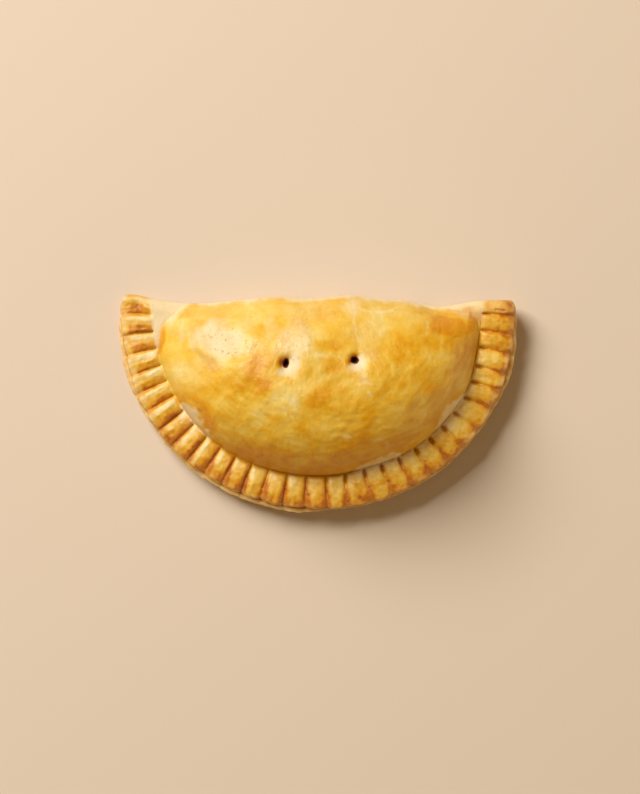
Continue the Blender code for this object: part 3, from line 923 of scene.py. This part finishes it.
def dome_finish(place, share):
    """How brown the dome is, and how much egg wash is on it, with its painted highlights and shade."""
    degrees = math.degrees(angle_of(place))
    browning_and_painted_light = dome_browning_and_painted_light(place)

    # The flat shoulders.
    left, right = SHOULDER_ENDS
    bare_and_painted_light = 1 - smooth(share / SHOULDER_SHARE + 0.25 * uneven(place, 3.0, 33))
    browning_and_painted_light -= 0.1 * bare_and_painted_light * (1 - from_corner(angle_of(place)))
    bare_and_painted_light *= max(smooth((left - degrees) / 4), RIGHT_SHOULDER_BARE * smooth((degrees - right) / 4))
    browning_and_painted_light += RIGHT_SHOULDER_BROWN * smooth((degrees - 160) / 12) * bare_and_painted_light
    bare_and_painted_light *= 1 - in_patch(place, LEFT_FOOT)

    for stops, how_bare in MISSED_FOOTS:
        inwards = between(stops, degrees + 2.6 * uneven(place, 3.0, 34))
        depth = (place.length - crimp_root(math.radians(degrees)) + inwards) / 1.3
        missed = how_bare * smooth(inwards / 1.8) * smooth(depth + 1.1 * uneven(place, 2.2, 35))
        missed *= 0.95 + 0.4 * uneven(place, 2.0, 38)
        bare_and_painted_light = max(bare_and_painted_light, missed)
        browning_and_painted_light -= MISSED_PALER * missed
    bare_and_painted_light = max(bare_and_painted_light, *(in_patch(place, patch) for patch in PALE_AND_PAINTED_HIGHLIGHTS))
    for crack in CRACKS:
        opened = cracked(place, crack) * smooth(0.5 + 2.0 * uneven(place, 1.6, 37))
        bare_and_painted_light = max(bare_and_painted_light, CRACK_BARE * opened)
        browning_and_painted_light -= CRACK_PALER * opened
    # Painted shade on the vents' steep sides, and painted light on their other sides.
    for vent in VENTS:
        shaded_wall, stretched_and_lit = beside_vent(place, vent)
        browning_and_painted_light += VENT_WALL_PAINTED_SHADE * shaded_wall - STRETCHED_PAINTED_LIGHT * stretched_and_lit
        bare_and_painted_light = max(bare_and_painted_light, STRETCHED_BARE_AND_LIT * stretched_and_lit)
    return browning_and_painted_light, 1 - bare_and_painted_light


# How the rim's finish changes round it, as (degrees, value). First each pad's own browning.
PAD_BROWN = (
    (0, 0.46), (8, 0.41), (30, 0.44), (60, 0.46), (90, 0.44), (120, 0.42), (150, 0.40), (165, 0.46),
    (174, 0.50), (178, 0.66),
)
# Painted shade on the side of a pad that looks to the right corner, away from the light, near
# the left corner and the bottom: from what share of its width, and how much browner.
SHADE_STARTS = ((0, 0.30), (28, 0.36), (45, 0.5), (60, 0.55), (180, 0.6))
PAINTED_SHADE_ON_PAD_SIDE = ((0, 0.25), (28, 0.30), (55, 0.34), (66, 0.20), (90, 0.12), (110, 0.0), (180, 0.0))
# Its other side: how much browner that is towards the edge, and how much paler its crest is
# painted where it faces the light, as painted light.
BESIDE_BROWN = ((52, 0.0), (60, 0.24), (100, 0.20), (125, 0.10), (180, 0.10))
PAINTED_LIGHT_ON_CREST = ((0, 0.24), (55, 0.26), (70, 0.20), (95, 0.16), (110, 0.0), (180, 0.0))
# In the grooves: how much browner, partly baked and partly painted shade in the groove, what
# share of that their inner ends have, and how much more both ends are darkened than what is
# between them, the inner one as painted shade in the tine's slit.
GROOVE_BROWN_AND_PAINTED_SHADE = (
    (0, 0.20), (30, 0.26), (50, 0.40), (65, 0.56), (95, 0.54), (110, 0.36), (160, 0.34), (180, 0.34),
)
GROOVE_STARTS = ((0, 0.05), (60, 0.15), (90, 0.25), (104, 0.45), (140, 0.35), (180, 0.2))
GROOVE_ENDS = ((90, 0.0), (104, 1.0), (180, 1.0))
# How much browner the pads' outer ends are, the places beside their notches, and some specks.
OUTER_BROWN = (
    (0, 0.0), (26, 0.06), (40, 0.14), (60, 0.34), (95, 0.32), (112, 0.24), (150, 0.20), (180, 0.16),
)
NOTCH_BROWN = ((0, 0.06), (26, 0.12), (60, 0.14), (100, 0.12), (140, 0.16), (170, 0.14), (180, 0.1))
SPECKLED = ((0, 0.08), (30, 0.08), (60, 0.08), (95, 0.10), (125, 0.20), (150, 0.14), (180, 0.10))
DEEPEST_RIM_BROWN = 0.86
RIM_MOTTLES = ((3.2, 42, 0.16), (1.2, 43, 0.10))
# How much egg wash the pads' inner ends have, and how much less their outer ends.
INNER_WASH = (
    (0, 0.85), (12, 0.8), (20, 0.9), (36, 0.85), (42, 0.35), (50, 0.9), (98, 0.95), (103, 0.25),
    (118, 0.25), (124, 0.95), (131, 0.9), (136, 0.3), (147, 0.35), (152, 0.85), (180, 0.9),
)
PAD_WASH = 0.92
EDGE_BARE = ((0, 0.45), (30, 0.40), (50, 0.2), (100, 0.2), (125, 0.35), (145, 0.5), (180, 0.5))
LAST_PAD_BARE = 0.3


def pad_sides(u, t, place, degrees):
    """How much browner a pad's painted-shade side and its grooves make it, and how much paler its lit
    crest is painted as painted light.
    """
    _, across = pad_at(u)
    # At the outer ends of the pads near the left corner the painted shade of the sides and the
    # grooves' darkening fade out.
    ending = smooth((t - 0.74) / 0.14) * smooth((60 - degrees) / 35)
    shady = smooth((across - between(SHADE_STARTS, degrees)) / 0.4) * between(PAINTED_SHADE_ON_PAD_SIDE, degrees)
    shady *= mix(0.45, 1.1, smooth(t / 0.5)) * (1 - ending)
    beside = smooth((0.44 - across) / 0.3) * smooth((t - 0.32) / 0.25) * between(BESIDE_BROWN, degrees)
    lit = smooth((0.50 - across) / 0.25) * smooth((across - 0.05) / 0.15) * between(PAINTED_LIGHT_ON_CREST, degrees)
    lit *= (0.9 + 0.8 * uneven(place, 3.0, 45)) * (1 - 0.5 * ending) * (1 - smooth(3 * beside))
    groove = between(GROOVE_BROWN_AND_PAINTED_SHADE, degrees) * hump(from_groove(u, t), mix(0.7, 1.0, t))
    groove *= smooth(t / 0.06) * mix(between(GROOVE_STARTS, degrees), 1.0, smooth(t / 0.6))
    ends = max(1.3 * hump(t - 0.14, 0.18), 0.4 + 0.8 * hump(t - 0.85, 0.2))
    groove *= mix(1.0, ends, between(GROOVE_ENDS, degrees)) * (1 - 0.8 * ending)
    return shady + beside + groove, lit


def rim_finish(u, t, place):
    """How brown the crimps are, with their painted shade and light, and how much egg wash is on them."""
    pad, _ = pad_at(u)
    degrees = math.degrees(angle_at(u))
    sides, lit = pad_sides(u, t, place, degrees)
    outer = between(OUTER_BROWN, degrees) * smooth((t - 0.5) / 0.5)
    outer *= 0.85 + 0.5 * uneven(place, 2.4, 41)
    notch = between(NOTCH_BROWN, degrees) * smooth((t - 0.6) / 0.4) * hump(from_groove(u, t) + 0.35, 1.5)
    specks = smooth((uneven(place, 1.5, 46) - 0.02) / 0.3) * smooth((t - 0.25) / 0.4)
    browning_and_painted_light = between(PAD_BROWN, degrees) + sides - lit + outer + notch
    browning_and_painted_light += between(SPECKLED, degrees) * specks + bumpy(place, RIM_MOTTLES)
    browning_and_painted_light += 0.08 * PAD_TILTS[pad] / PAD_TILT + 0.10 * hump((place - CORNER_HOLLOW).length, 2.4)
    # The last slit is painted darker, as painted shade in it.
    browning_and_painted_light = min(browning_and_painted_light, DEEPEST_RIM_BROWN) + 0.3 * in_last_slit(crimp_place(u, t))

    inner = between(INNER_WASH, degrees)
    wash = mix(inner, PAD_WASH, smooth((t + 0.25 * uneven(place, 2.0, 44)) / 0.38))
    wash -= between(EDGE_BARE, degrees) * smooth((t - 0.84 + 0.12 * uneven(place, 2.0, 47)) / 0.12)
    wash -= LAST_PAD_BARE * smooth((degrees - 175) / 1.5)
    # The lit crests are painted paler still by taking egg wash off them, as painted light.
    return browning_and_painted_light, wash - mix(1.7, 1.0, smooth((degrees - 50) / 10)) * lit


# The browning of what lies below the top: the fold's side, which browned towards the tray,
# the cut edge of the top layer and of the lip, the gap between them, which is painted dark as
# painted shade, and the underside.
FOLD_BROWN = 0.18
TRAY_BROWN = 0.5
TRAY_REACH = 5.0  # millimetres above the tray
FOLD_MOTTLES = ((6.0, 51, 0.20), (1.8, 55, 0.14))
TOP_EDGE_BROWN = 0.60
LIP_BROWN = 0.46
# painted shade in the gap between the layers
GAP_PAINTED_SHADE = 0.80
GAP_RING = 7.6  # the edge's rings are counted from 1 here
UNDERSIDE_BROWN = 0.62
UNDERSIDE_MOTTLES = ((9.0, 53, 0.3), (3.0, 54, 0.2))
TOP_EDGE_WASH = 0.75
LIP_WASH = 0.35


def side_finish(u, row, ring, co):
    """How brown the fold's side, the cut edge and the underside are, with painted shade in the gap, and
    their egg wash.
    """
    edge = on_rim(angle_at(u)) if row >= ROWS else 0.0
    fold = FOLD_BROWN + bumpy((co.x, co.z), FOLD_MOTTLES)
    fold += TRAY_BROWN * smooth((TRAY_REACH - co.z) / TRAY_REACH)
    opened = mix(0.3, 1.0, between(GAP_OPENS, math.degrees(angle_at(u))))
    cut = TOP_EDGE_BROWN if ring <= LIP_FROM else LIP_BROWN
    cut += opened * GAP_PAINTED_SHADE * hump(ring - GAP_RING, 1.2)
    cut += 0.30 * uneven((co.x + co.y, co.z * 3), 2.2, 52)
    browning_and_painted_light = mix(fold, cut, edge)
    below = ring - len(EDGE_RINGS)
    if below > 0:
        baked = UNDERSIDE_BROWN + bumpy(co.xy, UNDERSIDE_MOTTLES)
        browning_and_painted_light = mix(browning_and_painted_light, baked, smooth(below / UNDER_RINGS))
    return browning_and_painted_light, edge * (TOP_EDGE_WASH if ring <= LIP_FROM else LIP_WASH)


# The brush didn't reach the fold's side: how far in that goes, and the bumps of its edge.
UNBRUSHED = 2.2
BRUSH_EDGE = ((6.0, 61, 0.6), (2.0, 62, 0.4))
UNBRUSHED_BROWN = 0.45  # share of the browning that is left there


def brushed(u, row, place):
    """1 where the brush reached, and 0 along the fold."""
    flat = crimp_place(u, along_crimp(row)) if row >= DOME_ROWS else dome_place(u, row)
    inwards = bumpy(place, BRUSH_EDGE) - flat.y / UNBRUSHED
    return smooth(inwards + 0.8 * smooth((abs(place.x) - 55) / 5))


FINISHES = ("browning_and_painted_light", "egg_wash", "vent_hole", "thick_wash", "puddle")
HOLE_BROWN = 0.75
RIM_THICKNESS = 0.3  # of the wash on the outer part of the crimps, and on the edge
ROOT_THICKNESS = 0.6  # and at the crimps' inner ends
painted = {name: dough.verts.layers.float.new(name) for name in FINISHES}
for vert in dough.verts:
    u, row, ring = vert[unrolled]
    place = vert.co.xy
    thick = RIM_THICKNESS
    if ring == -1:
        vert[painted["browning_and_painted_light"]] = HOLE_BROWN
        vert[painted["vent_hole"]] = 1.0
        continue
    if ring > 0:
        browning_and_painted_light, wash = side_finish(u, row, ring, vert.co)
    elif row >= DOME_ROWS:
        t = along_crimp(row)
        thick = mix(ROOT_THICKNESS, RIM_THICKNESS, smooth((t - 0.35) / 0.3))
        foot_browning_and_painted_light, foot_wash = dome_finish(place, dome_share(place))
        browning_and_painted_light, wash = rim_finish(u, t, place)
        browning_and_painted_light = mix(foot_browning_and_painted_light, browning_and_painted_light, smooth(t / 0.12))
        wash = mix(foot_wash, wash, smooth(t / 0.12))
    else:
        browning_and_painted_light, wash = dome_finish(place, dome_share(place))
        thick = thickness(place)
        vert[painted["puddle"]] = smooth((thick - 0.3) / 0.3) * pocked_there(place)
        lips = [in_hole(place, vent) for vent in VENTS if (place - vent[0]).length < 6]
        if lips:
            vert[painted["vent_hole"]] = smooth((1.22 - min(lips)) / 0.22)
    if ring == 0:
        reached = brushed(u, row, place)
        wash *= reached
        browning_and_painted_light *= mix(UNBRUSHED_BROWN, 1.0, reached)
    vert[painted["browning_and_painted_light"]] = browning_and_painted_light
    vert[painted["egg_wash"]] = wash
    vert[painted["thick_wash"]] = min(max(wash, 0.0), 1.0) * thick
for vert in dough.verts:
    u, row, ring = vert[unrolled]
    if ring == 0 and row < DOME_ROWS:
        vert.co.z -= sum(crack[2] * cracked(vert.co.xy, crack) for crack in CRACKS)

bmesh.ops.translate(dough, vec=MIDDLE_OF_FOLD.to_3d(), verts=dough.verts)
bmesh.ops.scale(dough, vec=(0.001, 0.001, 0.001), verts=dough.verts)


def link(name, mesh):
    piece = bpy.data.objects.new(name, mesh)
    bpy.context.scene.collection.objects.link(piece)
    return piece


crust_mesh = bpy.data.meshes.new("baked_dough")
dough.to_mesh(crust_mesh)
dough.free()
crust_mesh.shade_smooth()
crust = link("baked_dough", crust_mesh)


def colour(hex_code):
    """Linear colour of an sRGB hex code."""
    parts = [int(hex_code[i : i + 2], 16) / 255 for i in (1, 3, 5)]
    linear = [p / 12.92 if p <= 0.04045 else ((p + 0.055) / 1.055) ** 2.4 for p in parts]
    return (*linear, 1.0)


def add_node(material, kind, settings=None, **links):
    """Adds a node with its settings and inputs; a link is an output, and the rest are values."""
    node = material.node_tree.nodes.new(kind)
    for name, value in (settings or {}).items():
        setattr(node, name, value)
    for name, value in links.items():
        key = int(name[1:]) if name[0] == "_" and name[1:].isdigit() else name.replace("_", " ")
        if isinstance(value, bpy.types.NodeSocket):
            material.node_tree.links.new(value, node.inputs[key])
        else:
            node.inputs[key].default_value = value
    return node


def ramp_stops(ramp, stops):
    """Sets a colour ramp's stops, given as (place, hex code)."""
    elements = ramp.color_ramp.elements
    while len(elements) > 1:
        elements.remove(elements[-1])
    elements[0].position = stops[0][0]
    elements[0].color = colour(stops[0][1])
    for place, hex_code in stops[1:]:
        elements.new(place).color = colour(hex_code)


# Wheat dough, brushed with egg and baked. The egg is a thin glossy skin over golden, mottled
# crumb, and where it is missing the dough stays cream and matt. Where the egg lies thick it
# gives a broad soft highlight, which its small matt pocks break up.
WASHED_COLOURS = (
    (0.0, "#F5DEA0"),
    (0.22, "#F2CE6C"),
    (0.42, "#ECBA3C"),
    (0.60, "#E4A412"),
    (0.76, "#DB8C00"),
    (0.88, "#BC6806"),
    (1.0, "#86420C"),
)
BARE_COLOURS = ((0.0, "#F4E0B6"), (0.35, "#EDD09C"), (0.65, "#DBAA66"), (1.0, "#9A5E2A"))
HOLE_COLOUR = "#66220F"  # of the crumb that the vents' walls show
POCK_COLOUR = "#B8A064"

# The patterns: their size in millimetres, their detail, roughness and distortion. The flour's
# own grain, about 0.1 mm across, is too fine to show, and is drawn 0.4 mm across. The pocks
# are specks of about 0.5 mm that stand 1.5 mm apart.
PATTERNS = (
    (8.0, 3.0, 0.6, 0.0),
    (2.6, 3.0, 0.6, 0.0),
    (0.9, 3.0, 0.6, 0.0),
    (1.6, 2.0, 0.5, 0.8),
    (1.5, 3.0, 0.7, 0.0),
    (0.75, 4.0, 0.65, 0.0),
    (0.4, 3.0, 0.6, 0.0),
)
MOTTLED = (0.16, 0.24, 0.12)  # how much the browning differs in the three largest
FLECK_BROWN = 0.06
PIT_DEPTH = 0.00025  # metres
GRAIN_DEPTH = 0.00008
POCK_DEPTH = 0.0005
POCK_SKIN = 0.25  # share of the egg's skin that is left on a pock
POCK_COVER = 0.9  # how much of the dough's colour a pock covers
BARE_ROUGHNESS = 0.72
WASHED_ROUGHNESS = 0.42
PIT_ROUGHNESS = 0.22  # how much it differs between the pits and what is around them


crust_material = bpy.data.materials.new("egg_washed_baked_dough")
crust_material.use_nodes = True
shader = crust_material.node_tree.nodes["Principled BSDF"]
spot = add_node(crust_material, "ShaderNodeTexCoord").outputs["Object"]
browning_and_painted_light, washed, hole, thick, puddled = (
    add_node(crust_material, "ShaderNodeAttribute", {"attribute_name": name}).outputs["Fac"]
    for name in FINISHES
)
*clouds, blisters, specks, pits, grain = (
    add_node(
        crust_material,
        "ShaderNodeTexNoise",
        Vector=spot,
        Scale=1000.0 / size,
        Detail=detail,
        Roughness=roughness,
        Distortion=distortion,
    ).outputs["Fac"]
    for size, detail, roughness, distortion in PATTERNS
)

# The browning is mottled, with darker flecks where small blisters caught the heat.
for cloud, much in zip(clouds, MOTTLED):
    centred = add_node(
        crust_material, "ShaderNodeMath", {"operation": "SUBTRACT"}, _0=cloud, _1=0.5
    ).outputs[0]
    browning_and_painted_light = add_node(
        crust_material, "ShaderNodeMath", {"operation": "MULTIPLY_ADD"}, _0=centred, _1=much, _2=browning_and_painted_light
    ).outputs[0]
flecks = add_node(
    crust_material,
    "ShaderNodeMapRange",
    {"interpolation_type": "SMOOTHSTEP"},
    Value=blisters,
    From_Min=0.57,
    From_Max=0.70,
    To_Max=FLECK_BROWN,
).outputs["Result"]
browning_and_painted_light = add_node(
    crust_material, "ShaderNodeMath", {"operation": "ADD"}, _0=browning_and_painted_light, _1=flecks
).outputs[0]

# The colour: bare or washed dough, where bare also stands for painted highlights and sheen,
# with the pocks in the puddles and the vents' inside.
washed_colour = add_node(crust_material, "ShaderNodeValToRGB", Fac=browning_and_painted_light)
ramp_stops(washed_colour, WASHED_COLOURS)
bare_colour = add_node(crust_material, "ShaderNodeValToRGB", Fac=browning_and_painted_light)
ramp_stops(bare_colour, BARE_COLOURS)
unpocked = add_node(
    crust_material,
    "ShaderNodeMapRange",
    {"interpolation_type": "SMOOTHSTEP"},
    Value=specks,
    From_Min=0.57,
    From_Max=0.67,
    To_Min=1.0,
    To_Max=POCK_SKIN,
).outputs["Result"]
pocks = add_node(
    crust_material, "ShaderNodeMapRange", Value=unpocked, From_Min=POCK_SKIN, To_Min=POCK_COVER, To_Max=0.0
).outputs["Result"]
pocks = add_node(
    crust_material, "ShaderNodeMath", {"operation": "MULTIPLY"}, _0=pocks, _1=puddled
).outputs[0]
surface = add_node(
    crust_material,
    "ShaderNodeMix",
    {"data_type": "RGBA"},
    _0=washed,
    _6=bare_colour.outputs["Color"],
    _7=washed_colour.outputs["Color"],
).outputs[2]
for where, hex_code in ((pocks, POCK_COLOUR), (hole, HOLE_COLOUR)):
    surface = add_node(
        crust_material, "ShaderNodeMix", {"data_type": "RGBA"}, _0=where, _6=surface, _7=colour(hex_code)
    ).outputs[2]
crust_material.node_tree.links.new(surface, shader.inputs["Base Color"])

# The egg smooths the dough, whose surface has fine pits and the flour's grain.
evened = add_node(
    crust_material,
    "ShaderNodeMapRange",
    Value=washed,
    To_Min=BARE_ROUGHNESS - PIT_ROUGHNESS / 2,
    To_Max=WASHED_ROUGHNESS - PIT_ROUGHNESS / 2,
).outputs["Result"]
rough = add_node(
    crust_material, "ShaderNodeMath", {"operation": "MULTIPLY_ADD"}, _0=pits, _1=PIT_ROUGHNESS, _2=evened
).outputs[0]
crust_material.node_tree.links.new(rough, shader.inputs["Roughness"])
pit_bump = add_node(
    crust_material, "ShaderNodeBump", Strength=0.6, Distance=PIT_DEPTH, Height=pits
).outputs["Normal"]
fine_bump = add_node(
    crust_material, "ShaderNodeBump", Strength=0.4, Distance=GRAIN_DEPTH, Height=grain, Normal=pit_bump
).outputs["Normal"]
crust_material.node_tree.links.new(fine_bump, shader.inputs["Normal"])

# The egg's skin is a coat as strong as the wash is thick, and broken where it is pocked.
pock_bump = add_node(
    crust_material, "ShaderNodeBump", Strength=0.8, Distance=POCK_DEPTH, Height=unpocked, Normal=fine_bump
).outputs["Normal"]
crust_material.node_tree.links.new(pock_bump, shader.inputs["Coat Normal"])
egg_skin = add_node(
    crust_material, "ShaderNodeMath", {"operation": "MULTIPLY"}, _0=thick, _1=unpocked
).outputs[0]
crust_material.node_tree.links.new(egg_skin, shader.inputs["Coat Weight"])
shader.inputs["Coat Roughness"].default_value = 0.24
shader.inputs["Coat IOR"].default_value = 1.5
shader.inputs["IOR"].default_value = 1.5
shader.inputs["Specular IOR Level"].default_value = 0.32
crust.data.materials.append(crust_material)

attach(crust, "root")
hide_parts("empanada")


# ------------------------------------------------------------------------------------------
# The surface that it lies on
# A plain pale board, painted matt and without a pattern. It isn't part of the object, and
# only takes its shadow.

FLOOR_HALF = 1.6  # metres
FLOOR_COLOUR = "#E3CFB6"

floor_bm = bmesh.new()
bmesh.ops.create_grid(floor_bm, x_segments=1, y_segments=1, size=FLOOR_HALF)
floor_mesh = bpy.data.meshes.new("floor")
floor_bm.to_mesh(floor_mesh)
floor_bm.free()
floor = link("floor", floor_mesh)
floor_material = bpy.data.materials.new("matt_painted_board")
floor_material.use_nodes = True
floor_shader = floor_material.node_tree.nodes["Principled BSDF"]
floor_shader.inputs["Base Color"].default_value = colour(FLOOR_COLOUR)
floor_shader.inputs["Roughness"].default_value = 0.9
floor_shader.inputs["Specular IOR Level"].default_value = 0.1
floor.data.materials.append(floor_material)


# ------------------------------------------------------------------------------------------
# Light and camera
# One large soft light from the upper left, a small one from above, a card at the lower right
# that throws some light back, a weak warm fill from all round, and the camera straight above.

# Each soft box: how far round it stands from the fold's side towards the left, and how high,
# in degrees, its distance, width and height in metres, its power, its colour, and what it is
# turned on for, as on a set where flags keep a light off the table.
SOFT_BOXES = (
    ("key", 45, 45, 2.2, 1.3, 1.2, 53.0, (1.0, 1.0, 1.0), crust),
    ("top", 30, 75, 2.0, 0.6, 0.5, 4.0, (1.0, 1.0, 1.0), crust),
    ("card", 245, 11, 1.5, 1.6, 0.5, 5.0, (1.0, 0.80, 0.50), crust),
    ("table_key", 42, 29.5, 2.2, 1.3, 0.9, 81.0, (1.0, 1.0, 1.0), floor),
    ("table_card", 225, 18, 1.5, 1.6, 1.2, 5.5, (1.0, 0.76, 0.42), floor),
)
FILL_COLOUR = (1.0, 0.72, 0.42, 1.0)
FILL_STRENGTH = 0.17
CAMERA_PLACE = (0.00068, 0.00175, 0.550)  # metres
LENS = 90.25  # millimetres, on the sensor below
SENSOR_WIDTH = 36.0

for name, azimuth, elevation, distance, width, height, power, tint, lit in SOFT_BOXES:
    box = bpy.data.lights.new(name, "AREA")
    box.shape = "RECTANGLE"
    box.size = width
    box.size_y = height
    box.energy = power
    box.color = tint
    level = Matrix.Rotation(math.radians(azimuth), 3, "Z") @ Vector((0.0, 1.0, 0.0))
    up = math.radians(elevation)
    way = level * math.cos(up) + Vector((0.0, 0.0, math.sin(up)))
    box_object = bpy.data.objects.new(name, box)
    box_object.location = way * distance
    box_object.rotation_euler = way.to_track_quat("Z", "Y").to_euler()
    only = bpy.data.collections.new("lit_by_" + name)
    only.objects.link(lit)
    box_object.light_linking.receiver_collection = only
    bpy.context.scene.collection.objects.link(box_object)

world = bpy.data.worlds.new("fill")
world.use_nodes = True
world.node_tree.nodes["Background"].inputs["Color"].default_value = FILL_COLOUR
world.node_tree.nodes["Background"].inputs["Strength"].default_value = FILL_STRENGTH
bpy.context.scene.world = world
bpy.context.scene.view_settings.view_transform = "Standard"

camera = bpy.data.cameras.new("camera")
camera.sensor_fit = "HORIZONTAL"
camera.sensor_width = SENSOR_WIDTH
camera.lens = LENS
camera.clip_start = 0.01
camera_object = bpy.data.objects.new("camera", camera)
camera_object.location = CAMERA_PLACE
bpy.context.scene.collection.objects.link(camera_object)
bpy.context.scene.camera = camera_object
